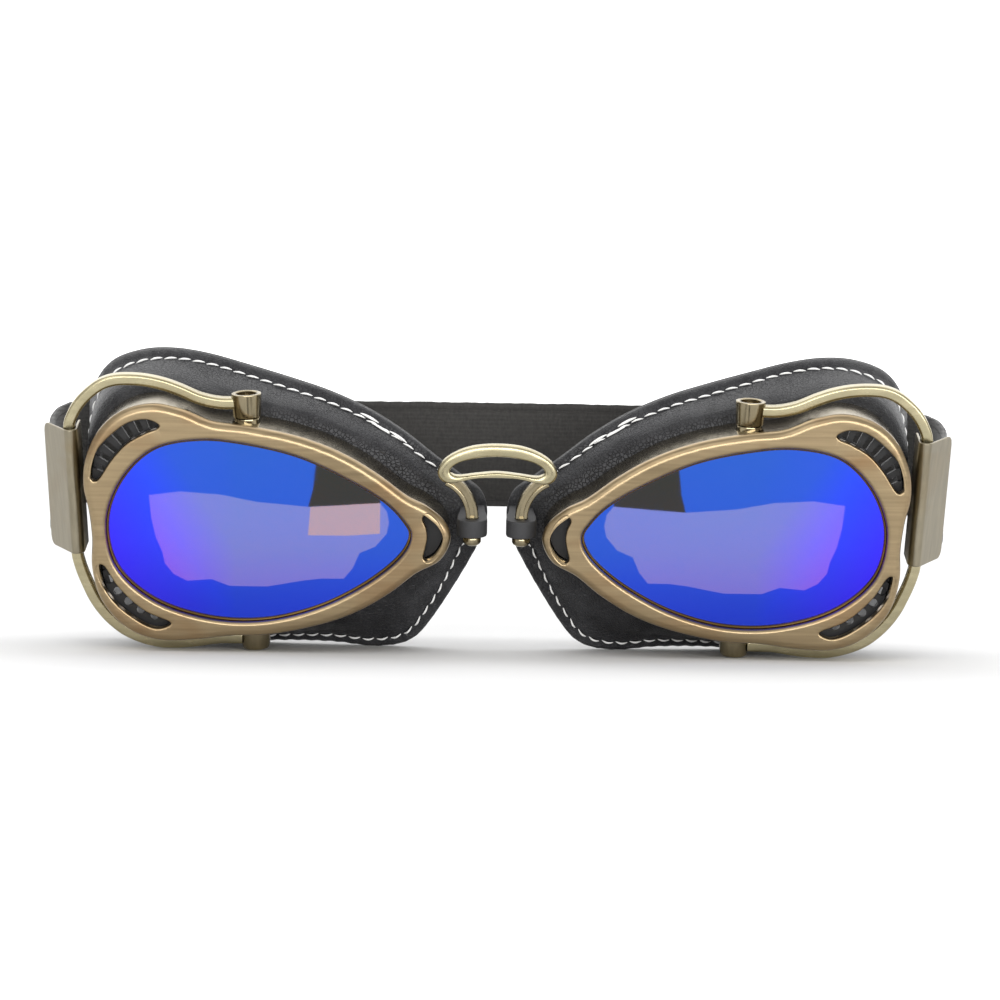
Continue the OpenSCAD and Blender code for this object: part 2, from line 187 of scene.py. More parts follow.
def line_normals(line):
    """Unit normals on the left of an open line."""
    normals = []
    for i in range(len(line)):
        d = (line[min(i + 1, len(line) - 1)] - line[max(i - 1, 0)]).normalized()
        normals.append(Vector((-d.y, d.x)))
    return normals


def resampled(points, count, closed=False):
    """The same line with its points spread evenly along it."""
    p = list(points) + ([points[0]] if closed else [])
    lengths = [0.0]
    for a, b in zip(p, p[1:]):
        lengths.append(lengths[-1] + (b - a).length)
    out = []
    i = 0
    for k in range(count):
        s = lengths[-1] * k / (count if closed else count - 1)
        while i < len(p) - 2 and lengths[i + 1] < s:
            i += 1
        t = (s - lengths[i]) / max(lengths[i + 1] - lengths[i], 1e-9)
        out.append(p[i].lerp(p[i + 1], min(max(t, 0), 1)))
    return out


def both_halves(points):
    """A half outline, closed by its mirror image."""
    return list(points) + [(-x, z) for x, z in reversed(points[1:-1])]


def rounded_rect(w, h, r, steps=4):
    """Corner-rounded rectangle centred on the origin, counter-clockwise."""
    out = []
    for cx, cz, start in ((1, 1, 0), (-1, 1, 90), (-1, -1, 180), (1, -1, 270)):
        for k in range(steps + 1):
            a = math.radians(start + 90 * k / steps)
            out.append((cx * (w / 2 - r) + r * math.cos(a), cz * (h / 2 - r) + r * math.sin(a)))
    return out


def quarter(r, steps):
    """(inset, depth) points of a rounded front edge, from the front face to the side."""
    angles = [math.radians(90 * k / steps) for k in range(steps + 1)]
    return [(r * (1 - math.sin(a)), r * (1 - math.cos(a))) for a in angles]


def inside(point, loop):
    """Whether a point lies inside a closed loop, by counting crossings."""
    crossings = 0
    for i in range(len(loop)):
        a, b = loop[i - 1], loop[i]
        if (a.y > point.y) != (b.y > point.y):
            if point.x < a.x + (b.x - a.x) * (point.y - a.y) / (b.y - a.y):
                crossings += 1
    return crossings % 2 == 1


# ---------- meshes ----------


class Shape:
    """Vertices and faces of one piece, collected part by part."""

    def __init__(self):
        self.verts = []
        self.faces = []
        self.slots = []

    def add(self, verts, faces, slot=0):
        base = len(self.verts)
        self.verts += [tuple(v) for v in verts]
        self.faces += [tuple(base + i for i in f) for f in faces]
        self.slots += [slot] * len(faces)

    def grid(self, rows, wrap_rows=False, wrap_cols=True, slot=0, cap=False):
        n, k = len(rows), len(rows[0])
        faces = []
        for i in range(n if wrap_rows else n - 1):
            for j in range(k if wrap_cols else k - 1):
                a, b = i * k + j, i * k + (j + 1) % k
                c, d = (i + 1) % n * k + (j + 1) % k, (i + 1) % n * k + j
                faces.append((a, b, c, d))
        if cap:
            faces.append(tuple(range(k))[::-1])
            faces.append(tuple((n - 1) * k + j for j in range(k)))
        self.add([v for row in rows for v in row], faces, slot)

    def ring(self, loop, profile, slot=0, closed=True):
        """Sweeps (inset, depth) points round a closed loop in the face plane."""
        normals = inward_normals(loop)
        rows = [[(p.x + n.x * s, y, p.y + n.y * s) for s, y in profile] for p, n in zip(loop, normals)]
        self.grid(rows, wrap_rows=True, wrap_cols=closed, slot=slot)

    def fill(self, loops, y, slot=0):
        """Flat face at depth y, bounded by the first loop, with the others as holes."""
        points, edges = [], []
        for loop in loops:
            base = len(points)
            points += loop
            edges += [(base + i, base + (i + 1) % len(loop)) for i in range(len(loop))]
        verts, _, faces, *_ = geometry.delaunay_2d_cdt(points, edges, [], 1, 1e-5)
        kept = []
        for f in faces:
            middle = sum((verts[i] for i in f), Vector((0, 0))) / len(f)
            if inside(middle, loops[0]) and not any(inside(middle, hole) for hole in loops[1:]):
                kept.append(f)
        self.add([(v.x, y, v.y) for v in verts], kept, slot)

    def lathe(self, profile, matrix, segments=48, slot=0, closed=False):
        """Turns (radius, height) points about the matrix's Z axis."""
        rows = []
        for i in range(segments):
            a = 2 * math.pi * i / segments
            rows.append([matrix @ Vector((r * math.cos(a), r * math.sin(a), z)) for r, z in profile])
        self.grid(rows, wrap_rows=True, wrap_cols=closed, slot=slot)

    def sweep(self, frames, section, slot=0):
        """Carries a closed section along frames of (origin, first axis, second axis)."""
        rows = [[o + a * s + b * t for s, t in section] for o, a, b in frames]
        self.grid(rows, slot=slot, cap=True)

    def build(self, name, side, materials, slot, angle=40, weighted=True):
        """The finished object: merged, smoothed, stood up, and mirrored for the left side."""
        bm = bmesh.new()
        vs = [bm.verts.new(v) for v in self.verts]
        for f, s in zip(self.faces, self.slots):
            if len(set(f)) >= 3:
                try:
                    bm.faces.new([vs[i] for i in dict.fromkeys(f)]).material_index = s
                except ValueError:
                    pass
        bmesh.ops.remove_doubles(bm, verts=bm.verts, dist=MERGE)
        bmesh.ops.recalc_face_normals(bm, faces=bm.faces)
        mesh = bpy.data.meshes.new(name)
        bm.to_mesh(mesh)
        bm.free()
        mesh.transform(STAND @ MIRROR if side == "left" else STAND)
        if side == "left":
            mesh.flip_normals()
        for m in materials:
            mesh.materials.append(m)
        mesh.shade_smooth()
        mesh.set_sharp_from_angle(angle=math.radians(angle))
        obj = bpy.data.objects.new(name, mesh)
        bpy.context.scene.collection.objects.link(obj)
        if weighted:
            modifier = obj.modifiers.new("weighted", "WEIGHTED_NORMAL")
            modifier.keep_sharp = True
        return obj


def offset(loop, distance):
    return [p + n * distance for p, n in zip(loop, inward_normals(loop))]


# ---------- materials ----------


class Mat:
    """A node material with one Principled shader, and short calls for its detail."""

    def __init__(self, name, colour, rough, metal=0.0, **values):
        self.material = bpy.data.materials.new(name)
        self.material.use_nodes = True
        self.tree = self.material.node_tree
        self.shader = self.tree.nodes["Principled BSDF"]
        self.shader.inputs["Base Color"].default_value = (*colour, 1)
        self.shader.inputs["Roughness"].default_value = rough
        self.shader.inputs["Metallic"].default_value = metal
        for key, value in values.items():
            self.shader.inputs[key.replace("_", " ").title().replace("Ior", "IOR")].default_value = value
        self.height = None

    def node(self, kind, **settings):
        n = self.tree.nodes.new(kind)
        for key, value in settings.items():
            setattr(n, key, value)
        return n

    def link(self, a, b):
        self.tree.links.new(a, b)

    def coords(self, scale):
        place = self.node("ShaderNodeTexCoord")
        mapping = self.node("ShaderNodeMapping")
        mapping.inputs["Scale"].default_value = scale
        self.link(place.outputs["Object"], mapping.inputs["Vector"])
        return mapping.outputs["Vector"]

    def noise(self, scale, detail=3.0, stretch=(1, 1, 1), distortion=0.0):
        n = self.node("ShaderNodeTexNoise")
        n.inputs["Scale"].default_value = scale
        n.inputs["Detail"].default_value = detail
        n.inputs["Distortion"].default_value = distortion
        self.link(self.coords(stretch), n.inputs["Vector"])
        return n.outputs["Fac"]

    def cells(self, scale):
        n = self.node("ShaderNodeTexVoronoi", feature="DISTANCE_TO_EDGE")
        n.inputs["Scale"].default_value = scale
        self.link(self.coords((1, 1, 1)), n.inputs["Vector"])
        return n.outputs["Distance"]

    def wave(self, scale, direction, distortion):
        n = self.node("ShaderNodeTexWave", bands_direction=direction)
        n.inputs["Scale"].default_value = scale
        n.inputs["Distortion"].default_value = distortion
        self.link(self.coords((1, 1, 1)), n.inputs["Vector"])
        return n.outputs["Fac"]

    def ramp(self, source, stops):
        n = self.node("ShaderNodeValToRGB")
        self.link(source, n.inputs["Fac"])
        elements = n.color_ramp.elements
        while len(elements) < len(stops):
            elements.new(0.5)
        for element, (place, value) in zip(elements, stops):
            element.position = place
            element.color = (*value, 1) if hasattr(value, "__len__") else (value, value, value, 1)
        return n.outputs["Color"]

    def mix(self, factor, a, b):
        n = self.node("ShaderNodeMix", data_type="RGBA")
        for socket, value in ((n.inputs["Factor"], factor), (n.inputs["A"], a), (n.inputs["B"], b)):
            if hasattr(value, "is_linked"):
                self.link(value, socket)
            elif hasattr(value, "__len__"):
                socket.default_value = (*value, 1)
            else:
                socket.default_value = value
        return n.outputs["Result"]

    def paint(self, source):
        self.link(source, self.shader.inputs["Base Color"])

    def gloss(self, source, low, high):
        n = self.node("ShaderNodeMapRange")
        n.inputs["To Min"].default_value = low
        n.inputs["To Max"].default_value = high
        self.link(source, n.inputs["Value"])
        self.link(n.outputs["Result"], self.shader.inputs["Roughness"])

    def bump(self, source, distance, strength=1.0):
        n = self.node("ShaderNodeBump")
        n.inputs["Strength"].default_value = strength
        n.inputs["Distance"].default_value = distance
        self.link(source, n.inputs["Height"])
        if self.height:
            self.link(self.height, n.inputs["Normal"])
        self.height = n.outputs["Normal"]
        self.link(self.height, self.shader.inputs["Normal"])


def brushed_brass(name, colour, warm, streaks, low, high, rough_bump=0.00004):
    m = Mat(name, colour, 0.3, 1.0)
    fine = m.noise(1, 4, streaks)
    broad = m.noise(60, 2, (1, 1, 1.6), 0.6)
    tone = m.ramp(fine, [(0.3, [c * 0.86 for c in colour]), (0.7, [min(c * 1.1, 1) for c in colour])])
    patch = m.ramp(broad, [(0.52, 0.0), (0.75, 0.45)])
    m.paint(m.mix(patch, tone, warm))
    m.gloss(fine, low, high)
    m.bump(fine, rough_bump, 0.5)
    return m.material


def leather():
    m = Mat("black_leather", (0.02, 0.02, 0.022), 0.45, specular_ior_level=0.35)
    grain = m.cells(1200)
    pores = m.noise(2600, 3)
    soft = m.noise(160, 3, distortion=0.4)
    m.paint(m.mix(m.ramp(soft, [(0.35, 0.0), (0.7, 1.0)]), (0.017, 0.017, 0.019), (0.034, 0.034, 0.037)))
    m.gloss(soft, 0.34, 0.5)
    m.bump(soft, 0.0005, 0.35)
    m.bump(m.ramp(grain, [(0.0, 0.0), (0.12, 1.0)]), 0.0002, 0.7)
    m.bump(pores, 0.00003, 0.4)
    return m.material


def webbing():
    m = Mat("elastic_webbing", (0.03, 0.028, 0.026), 0.85, sheen_weight=0.25, sheen_roughness=0.5)
    ribs = m.wave(330, "Z", 0.4)
    picks = m.noise(1, 2, (1900, 1900, 700))
    fuzz = m.noise(2400, 2)
    m.paint(m.mix(picks, (0.018, 0.017, 0.016), (0.05, 0.047, 0.043)))
    m.gloss(fuzz, 0.75, 0.95)
    m.bump(ribs, 0.00016, 0.6)
    m.bump(picks, 0.00012, 0.7)
    m.bump(fuzz, 0.00005, 0.5)
    return m.material


def mirror_lens():
    """Blue mirror coat that turns violet towards the outer and lower edges. Its grade with height is partly
    painted reflection: the greener blue at the top stands for the reflected backdrop, and the stronger blue
    low down makes up for the shadowed floor that part of the lens reflects.
    """
    m = Mat("mirrored_lens", (0.02, 0.05, 0.85), 0.03, 1.0, coat_weight=0.4, coat_roughness=0.02)
    place = m.node("ShaderNodeTexCoord")
    split = m.node("ShaderNodeSeparateXYZ")
    m.link(place.outputs["Object"], split.inputs["Vector"])
    side = m.node("ShaderNodeMath", operation="ABSOLUTE")
    m.link(split.outputs["X"], side.inputs[0])
    height = m.node("ShaderNodeMapRange")
    for key, value in (("From Min", 0.01), ("From Max", 0.047), ("To Min", 0.55), ("To Max", 0.0)):
        height.inputs[key].default_value = value
    m.link(split.outputs["Z"], height.inputs["Value"])
    outer = m.node("ShaderNodeMapRange")
    for key, value in (("From Min", 0.058), ("From Max", 0.086), ("To Min", 0.0), ("To Max", 0.6)):
        outer.inputs[key].default_value = value
    m.link(side.outputs[0], outer.inputs["Value"])
    coat_grade_and_painted_reflection = m.node("ShaderNodeMath", operation="ADD")
    m.link(height.outputs["Result"], coat_grade_and_painted_reflection.inputs[0])
    m.link(outer.outputs["Result"], coat_grade_and_painted_reflection.inputs[1])
    # Painted reflection in the coat colour: greener blue at the top, stronger blue low down to make up for
    # the shadowed floor reflected there, violet towards the outer edge.
    tone = m.ramp(coat_grade_and_painted_reflection.outputs[0], [
        (0.0, (0.012, 0.1, 0.58)),
        (0.35, (0.014, 0.09, 0.68)),
        (0.6, (0.014, 0.055, 0.98)),
        (1.0, (0.035, 0.008, 1.0)),
    ])
    haze = m.noise(26, 2, distortion=0.5)
    m.paint(m.mix(m.ramp(haze, [(0.5, 0.0), (0.9, 0.2)]), tone, (0.02, 0.05, 0.85)))
    m.gloss(m.noise(400, 3), 0.015, 0.045)
    m.bump(m.noise(30, 2), 0.00008, 0.2)
    return m.material


def plain_detail(name, colour, low, high, grain=1500, depth=0.00003, metal=0.0, **values):
    m = Mat(name, colour, high, metal, **values)
    fine = m.noise(grain, 3)
    broad = m.noise(120, 2)
    m.paint(m.mix(broad, [c * 0.8 for c in colour], [min(c * 1.2, 1) for c in colour]))
    m.gloss(fine, low, high)
    m.bump(fine, depth, 0.6)
    return m.material


FACE = brushed_brass("brushed_brass", (0.34, 0.258, 0.152), (0.26, 0.13, 0.05), (50, 900, 1600), 0.24, 0.38)
WALL = brushed_brass(
    "polished_brass", (0.34, 0.285, 0.18), (0.2, 0.12, 0.05), (90, 90, 900), 0.1, 0.2, 0.00002
)
ARM_BRASS = brushed_brass("satin_brass", (0.45, 0.4, 0.255), (0.36, 0.29, 0.16), (120, 500, 700), 0.2, 0.32)
BARREL = brushed_brass("turned_brass", (0.3, 0.255, 0.165), (0.2, 0.15, 0.08), (900, 900, 60), 0.14, 0.26)
CLIP = brushed_brass("clip_brass", (0.27, 0.24, 0.175), (0.24, 0.18, 0.1), (900, 900, 60), 0.26, 0.4)
DARK_BRASS = brushed_brass("dark_brass", (0.2, 0.15, 0.08), (0.1, 0.06, 0.03), (500, 500, 500), 0.25, 0.4)
LEATHER = leather()
WEBBING = webbing()
LENS_BLUE = mirror_lens()
LENS_BODY = plain_detail("smoked_lens", (0.02, 0.022, 0.03), 0.04, 0.08)
AMBER = plain_detail("amber_trim", (0.17, 0.1, 0.025), 0.12, 0.2, metal=0.8)
BLACK = plain_detail("black_moulding", (0.009, 0.009, 0.01), 0.4, 0.6)
FLEECE = plain_detail(
    "fleece_pad", (0.02, 0.02, 0.02), 0.85, 1.0, 2200, 0.0002, sheen_weight=0.25, sheen_roughness=0.6
)
THREAD = plain_detail("waxed_thread", (0.95, 0.94, 0.9), 0.5, 0.7, 3500, 0.00005)
KEEPER = plain_detail("soft_black_leather", (0.028, 0.028, 0.03), 0.55, 0.75, 1600, 0.00006)


def finish_piece(obj, body, *replaced):
    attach(obj, body)
    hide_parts(*replaced)


# ---------- eye frames ----------


def on_axis(z):
    """A place on the arm's hinge axis, at height z, with the axis as its Z."""
    tilt = Matrix.Rotation(math.atan(AXIS_SLOPE), 4, "Y")
    return Matrix.Translation((AXIS_X + z * AXIS_SLOPE, AXIS_Y, z)) @ tilt


def frame_shape():
    outer = closed_curve(FRAME, 8)
    opening = closed_curve(LENS, 8)
    slots = [closed_curve(s, 6) for s in SLOTS]
    shape = Shape()
    edge, lens_edge, slot_edge = 1.7, 0.9, 0.45
    shape.fill([offset(outer, edge), offset(opening, -lens_edge)] + [offset(s, -slot_edge) for s in slots], 0)
    shape.fill([outer, opening] + slots, PLATE_T)
    shape.ring(outer, quarter(edge, 8) + [(0, PLATE_T)], closed=False)
    shape.ring(opening, [(-s, y) for s, y in quarter(lens_edge, 5)] + [(0, PLATE_T)], closed=False)
    for s in slots:
        shape.ring(s, [(-t, y) for t, y in quarter(slot_edge, 3)] + [(0, PLATE_T)], closed=False)
    wall = [
        (0.5, 2.0), (0.45, 8.0), (0.5, 16.4), (0.65, 16.85),
        (0.9, 17.0), (1.4, 17.0), (1.7, 16.7), (1.7, 2.0),
    ]
    shape.ring(outer, wall, slot=1)
    boss = [(0, 0), (2.5, 0), (2.8, -0.15), (2.9, -0.5), (2.9, -2.2)]
    shape.lathe(boss, on_axis(BOSS_TOP), slot=1)
    shape.lathe(boss, on_axis(BOSS_BOTTOM) @ Matrix.Rotation(math.pi, 4, "X"), slot=1)
    return shape


def lens_depth(x, z):
    """Depth of the domed lens front at a point of the face plane."""
    centre_x, centre_z, half_w, half_h, crown = 53.0, 0.0, 37.0, 23.5, 1.1
    rho = ((x - centre_x) / half_w) ** 2 + ((z - centre_z) / half_h) ** 2
    return 2.25 - crown * max(1 - rho, 0)


def lens_shape():
    rim = resampled(offset(closed_curve(LENS, 8), -LENS_SEAT), 96, True)
    centre = sum(rim, Vector((0, 0))) / len(rim)
    shape = Shape()
    rows = []
    for k in range(13):
        t = 1 - (k / 12) ** 1.4
        loop = [centre.lerp(p, max(t, 0.002)) for p in rim]
        rows.append([(p.x, lens_depth(p.x, p.y), p.y) for p in loop])
    front_edge = [(p.x, LENS_EDGE, p.y) for p in rim]
    back_edge = [(p.x, LENS_BACK, p.y) for p in rim]
    shape.grid([front_edge] + rows)
    shape.add(back_edge, [tuple(range(len(rim)))], 1)
    shape.grid([front_edge, back_edge], slot=1)
    return shape


def gasket_shape():
    loop = closed_curve(LENS, 8)
    shape = Shape()
    shape.ring(loop, [(0.05, 1.5), (0.2, 1.35), (0.45, 1.5), (0.6, 1.9), (0.6, 2.2), (0.05, 2.2)])
    return shape


# ---------- leather ----------


def rim_depth(x):
    """Depth of the skirt's rim, which slants back towards the temple."""
    return 22 + 0.18 * x


# Cross-sections, from frame to rim: (share of the way out, share of the depth, extra depth, inset)
SKIRT_OUTER = [
    (0, 0, 0.02, 0.6), (0.14, 0.05, 0.35, 0), (0.28, 0.12, 0.5, 0), (0.42, 0.26, 0.5, 0),
    (0.54, 0.44, 0.3, 0), (0.66, 0.68, -0.4, 0), (0.82, 0.88, -1.1, 0), (0.95, 0.97, -1.5, 0),
]
SKIRT_RIM = [(1.0, 1.0, -1.2, 0), (1.01, 1.0, -0.6, 0), (0.98, 1.0, -0.1, 0)]
SKIRT_INNER = [
    (0.8, 1.0, 0.0, 0), (0.55, 1.0, 0.0, 0), (0.3, 0.84, 0.2, 0),
    (0.1, 0.6, 0.4, 0), (0.0, 0.3, 0.4, 1.4), (0.0, 0, 0.02, 2.3),
]
PAD = [
    (0.96, 1, 0.1, 0), (1.0, 1, 0.8, 0), (0.97, 1, 1.8, 0), (0.86, 1, 2.4, 0), (0.7, 1, 2.6, 0),
    (0.5, 1, 2.6, 0), (0.3, 1, 2.4, 0), (0.14, 0.94, 2.0, 0), (0.03, 0.78, 1.8, 0.3),
    (0.0, 0.68, 1.3, 0.4), (0.06, 0.66, 0.9, 0), (0.3, 0.86, 0.4, 0), (0.54, 1, 0.15, 0), (0.8, 1, 0.1, 0),
]


def section(f, r, n, items):
    """Points of a cross-section between a frame point f and its rim point r."""
    out = []
    depth = rim_depth(r.x) - FRAME_DEPTH
    for a, b, extra, inset in items:
        p = f.lerp(r, a) + n * inset
        out.append(Vector((p.x, FRAME_DEPTH + depth * b + extra, p.y)))
    return out


def smooth(low, high, value):
    t = min(max((value - low) / (high - low), 0.0), 1.0)
    return t * t * (3 - 2 * t)


def stitch_share(f, r):
    """How far out along the section the seam runs: nearer the rim at the top and the bottom."""
    wing = smooth(60, 45, r.x) * smooth(8, -4, r.y) * smooth(-33, -27, r.y)
    gap = 1.75 + 1.35 * wing
    return max(0.3, 1 - gap / max((r - f).length, 0.1))


def skirt_loops(steps):
    f = closed_curve(FRAME, steps)
    r = closed_curve(RIM, steps)
    return f, r, inward_normals(f)


def outer_point(f, r, n, share):
    """Point of the skirt's outer face at a share of the way to the rim."""
    items = SKIRT_OUTER + [SKIRT_RIM[0]]
    for a, b in zip(items, items[1:]):
        if a[0] <= share <= b[0]:
            t = (share - a[0]) / (b[0] - a[0])
            mid = tuple(u + (v - u) * t for u, v in zip(a, b))
            return section(f, r, n, [mid])[0]
    return section(f, r, n, [items[-1]])[0]


def seam_out(f, r):
    """Roughly the outward direction of the leather at the seam."""
    return Vector(((r - f).x, 0, (r - f).y)).normalized() * 0.6 + Vector((0, -0.8, 0))


def oval(w, h):
    """Eight points of a thread's section."""
    return [(w * math.cos(math.pi * j / 4), h * math.sin(math.pi * j / 4)) for j in range(8)]


def skirt_shape():
    shape = Shape()
    rows = []
    run = 0.0
    last = None
    for f, r, n in zip(*skirt_loops(14)):
        seam = stitch_share(f, r)
        length = max((r - f).length, 1.0)
        here = outer_point(f, r, n, seam)
        run += (here - last).length if last else 0.0
        last = here
        pucker = 0.5 + 0.5 * math.cos(2 * math.pi * run / STITCH)
        out = seam_out(f, r)
        row = []
        for k in range(31):
            share = (k / 30) ** 0.9
            p = outer_point(f, r, n, share)
            groove = math.exp(-((share - seam) * length / 0.5) ** 2) * (0.3 + 0.2 * pucker)
            lip = smooth(seam, 1, share) * 0.22 * (0.5 - pucker)
            belly = math.sin(math.pi * min(share / max(seam, 0.05), 1)) * 0.6
            fold = noise.noise(Vector((r.x * 0.09, r.y * 0.09, share * 1.5))) * 0.5
            fold *= math.sin(math.pi * min(share * 1.1, 1))
            crease = noise.noise(Vector((r.x * 0.35, r.y * 0.35, share * 3 + 7))) * 0.2
            crease *= math.sin(math.pi * share)
            row.append(p + out * (belly + fold + crease + lip - groove))
        row += section(f, r, n, SKIRT_RIM[1:] + SKIRT_INNER)
        rows.append(row)
    shape.grid(rows, wrap_rows=True)
    return shape


def stitch_shape():
    """Thread laid along the seam, one slightly bowed stitch after another."""
    path = []
    for f, r, n in zip(*skirt_loops(8)):
        out = seam_out(f, r)
        path.append((outer_point(f, r, n, stitch_share(f, r)) - out * 0.3, out.normalized()))
    points = [p for p, _ in path]
    lengths = [0.0]
    for i in range(len(points)):
        lengths.append(lengths[-1] + (points[(i + 1) % len(points)] - points[i]).length)
    count = round(lengths[-1] / STITCH)
    shape = Shape()

    def at(s):
        s %= lengths[-1]
        i = max(k for k in range(len(points)) if lengths[k] <= s)
        t = (s - lengths[i]) / max(lengths[i + 1] - lengths[i], 1e-9)
        after = (i + 1) % len(points)
        return points[i].lerp(points[after], t), path[i][1].lerp(path[after][1], t)

    for q in range(count):
        pitch = lengths[-1] / count
        start = q * pitch
        frames = []
        for k in range(9):
            u = k / 8
            p, out = at(start + pitch * (0.07 + 0.86 * u))
            ahead, _ = at(start + pitch * (0.07 + 0.86 * u) + 0.1)
            along = (ahead - p).normalized()
            across = along.cross(out).normalized()
            swell = math.sin(math.pi * min(max(u, 0.02), 0.98)) ** 0.45
            slant = (u - 0.5) * 0.35
            origin = p + out * (0.42 * math.sin(math.pi * u) - 0.02) + across * slant
            frames.append((origin, across * swell, out * swell))
        shape.sweep(frames, oval(0.24, 0.2))
    return shape


def bartack_shape():
    """The seam's overlap near the nose, sewn twice."""
    f, r, n = skirt_loops(8)
    shape = Shape()
    for start, shift in ((30, 0.0), (34, 0.55), (37, -0.35)):
        frames = []
        for k in range(7):
            i = start + k * 0.7
            j = int(i)
            t = i - j
            share = stitch_share(f[j], r[j]) + 0.03
            after = outer_point(f[j + 1], r[j + 1], n[j + 1], share)
            p = outer_point(f[j], r[j], n[j], share).lerp(after, t)
            out = seam_out(f[j], r[j]).normalized()
            along = Vector(((f[j + 1] - f[j]).x, 0, (f[j + 1] - f[j]).y)).normalized()
            across = along.cross(out).normalized()
            swell = math.sin(math.pi * min(max(k / 6, 0.03), 0.97)) ** 0.5
            frames.append((p + out * (0.05 + 0.3 * swell) + across * shift, across * swell, out * swell))
        shape.sweep(frames, oval(0.32, 0.25))
    return shape


def pad_shape():
    shape = Shape()
    shape.grid([section(f, r, n, PAD) for f, r, n in zip(*skirt_loops(6))], wrap_rows=True)
    return shape


def keeper_shape():
    low, high, r, tail = -2.0, 2.0, 3.4, 20.4
    plan = [(r * math.cos(math.radians(a)), r * math.sin(math.radians(a))) for a in range(180, 361, 12)]
    plan += [(3.3, 4.0), (2.9, 8.0), (2.7, tail - PIN_Y), (-2.7, tail - PIN_Y), (-2.9, 8.0), (-3.3, 4.0)]
    shape = Shape()
    heights = [
        (0.45, low), (0.12, low + 0.12), (0.0, low + 0.45),
        (0.0, high - 0.45), (0.12, high - 0.12), (0.45, high),
    ]
    loop = [Vector(p) for p in plan]
    normals = inward_normals(loop)
    rows = [
        [(PIN_X + p.x + n.x * s, PIN_Y + p.y + n.y * s, z) for p, n in zip(loop, normals)]
        for s, z in heights
    ]
    shape.grid(rows, cap=True)
    return shape


# ---------- nose bridge ----------


def bridge_shape():
    shape = Shape()
    count = 96
    outer = resampled(closed_curve(both_halves(BOW), 8), count, True)
    inner = resampled(closed_curve(both_halves(BOW_SLOT), 8), count, True)
    rows = []
    for a, b in zip(outer, inner):
        mid, half = (a + b) / 2, (a - b) / 2
        row = []
        for j in range(16):
            t = 2 * math.pi * j / 16
            c, s = math.cos(t), math.sin(t)
            c, s = math.copysign(abs(c) ** 0.6, c), math.copysign(abs(s) ** 0.6, s)
            p = mid + half * c
            row.append((p.x, 4.9 + 1.5 * s, p.y))
        rows.append(row)
    shape.grid(rows, wrap_rows=True)
    grooved_bar = [
        (-1.4, -1.0), (-1.2, -1.3), (-0.75, -1.4), (-0.5, -1.3), (-0.42, -0.4), (0.42, -0.4), (0.5, -1.3),
        (0.75, -1.4), (1.2, -1.3), (1.4, -1.0), (1.4, 1.0), (1.0, 1.4), (-1.0, 1.4), (-1.4, 1.0),
    ]
    for m in (1, -1):
        frames = []
        for k in range(21):
            a = math.radians(LEG_BEND_ANGLE * k / 20)
            x = PIN_X + LEG_BEND_R - LEG_BEND_R * math.cos(a)
            origin = Vector((m * x, PIN_Y, 2.3 + LEG_BEND_R * math.sin(a)))
            frames.append((origin, Vector((-m * math.cos(a), 0, math.sin(a))), Vector((0, 1, 0))))
        shape.sweep(frames, grooved_bar, 1)
        pin = Matrix.Translation((m * PIN_X, PIN_Y, 0))
        shape.lathe([(0, 2.4), (1.5, 2.4), (1.5, -2.15), (0, -2.15)], pin, slot=1)
    return shape


def cap_shape():
    shape = Shape()
    cap = [(0, -4.2), (1.2, -4.2), (1.85, -3.75), (2.05, -3.3), (2.05, -2.35), (1.9, -2.15), (0, -2.1)]
    shape.lathe(cap, Matrix.Translation((PIN_X, PIN_Y, 0)))
    return shape


# ---------- outrigger arms ----------


def arm_shape():
    shape = Shape()
    line = open_curve(ARM, 6)
    frames = [
        (Vector((p.x, AXIS_Y, p.y)), Vector((n.x, 0, n.y)), Vector((0, 1, 0)))
        for p, n in zip(line, line_normals(line))
    ]
    shape.sweep(frames, rounded_rect(2.55, 3.5, 0.7))
    bore, recess = 1.56, 2.35
    low, high = 24.25, 29.6
    upper = [
        (bore, low), (2.95, low), (3.12, low + 0.2), (3.4, high - 0.3), (3.32, high - 0.08), (3.1, high),
        (recess + 0.25, high), (recess, high - 0.2), (recess, high - 2.4), (bore, high - 2.4),
    ]
    shape.lathe(upper, on_axis(0), slot=1, closed=True)
    low, high = -29.1, -25.05
    lower = [
        (bore, high), (3.2, high), (3.4, high - 0.25), (3.2, low + 1.1), (2.95, low + 0.2), (2.8, low),
        (recess + 0.2, low), (recess, low + 0.2), (recess, low + 1.3), (bore, low + 1.3),
    ]
    shape.lathe(lower, on_axis(0), slot=1, closed=True)
    return shape


def clip_shape():
    """Sheet folded to a blunt nose round the arm's bar, with its outer leaf's corners rounded."""
    thick, height, corner = 0.7, 28.4, 1.8
    middle = [
        (-1.7, 15.2), (-1.7, 10.0), (-1.7, 6.3), (-1.4, 5.3), (-0.65, 4.75),
        (0.15, 4.8), (0.65, 5.4), (2.95, 9.6), (6.0, 15.2),
    ]
    line = resampled(open_curve(middle, 8), 90)
    tilt = Matrix.Translation((95.05, 0, 7.2)) @ Matrix.Rotation(math.radians(3.3), 4, "Y")
    shape = Shape()
    rows = []
    for p, n in zip(line, line_normals(line)):
        near_end = max(corner - (line[-1] - p).length, 0) / corner
        cut = corner * (1 - math.sqrt(1 - near_end**2))
        profile = rounded_rect(thick, height - 2 * cut, 0.28, 3)
        rows.append([tilt @ Vector((p.x + n.x * s, p.y + n.y * s, z)) for s, z in profile])
    shape.grid(rows, cap=True)
    return shape


# ---------- strap ----------


